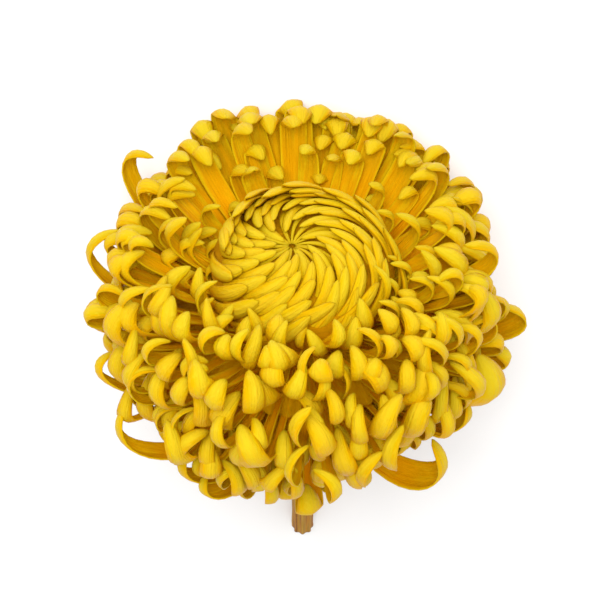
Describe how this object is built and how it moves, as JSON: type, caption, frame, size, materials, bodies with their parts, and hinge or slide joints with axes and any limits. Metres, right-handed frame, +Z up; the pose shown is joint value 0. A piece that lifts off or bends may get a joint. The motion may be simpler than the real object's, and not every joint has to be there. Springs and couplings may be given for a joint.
{
  "type": "cut chrysanthemum bloom",
  "caption": "Large yellow incurved chrysanthemum bloom with a swirled heart, on a short cut stem, lying on its side.",
  "frame": {"origin": "middle of the part's box, on the surface that the flower lies on", "axes": "+Z up from the surface; the stem runs back along +Y and down to the surface, and the bloom's face looks along -Y and upwards"},
  "size_m": [0.1442, 0.175, 0.1293],
  "materials": {
    "petal": "soft satin petal, lemon yellow on the back and deep gold inside",
    "heart_petal": "soft satin petal, golden yellow",
    "bract": "matt green",
    "stem": "matt brown-ochre with lengthwise ribs"
  },
  "bodies": {
    "root": {"ray_petals": "petal", "heart_petals": "heart_petal", "involucre": "bract", "stem": "stem"}
  },
  "joints": []
}
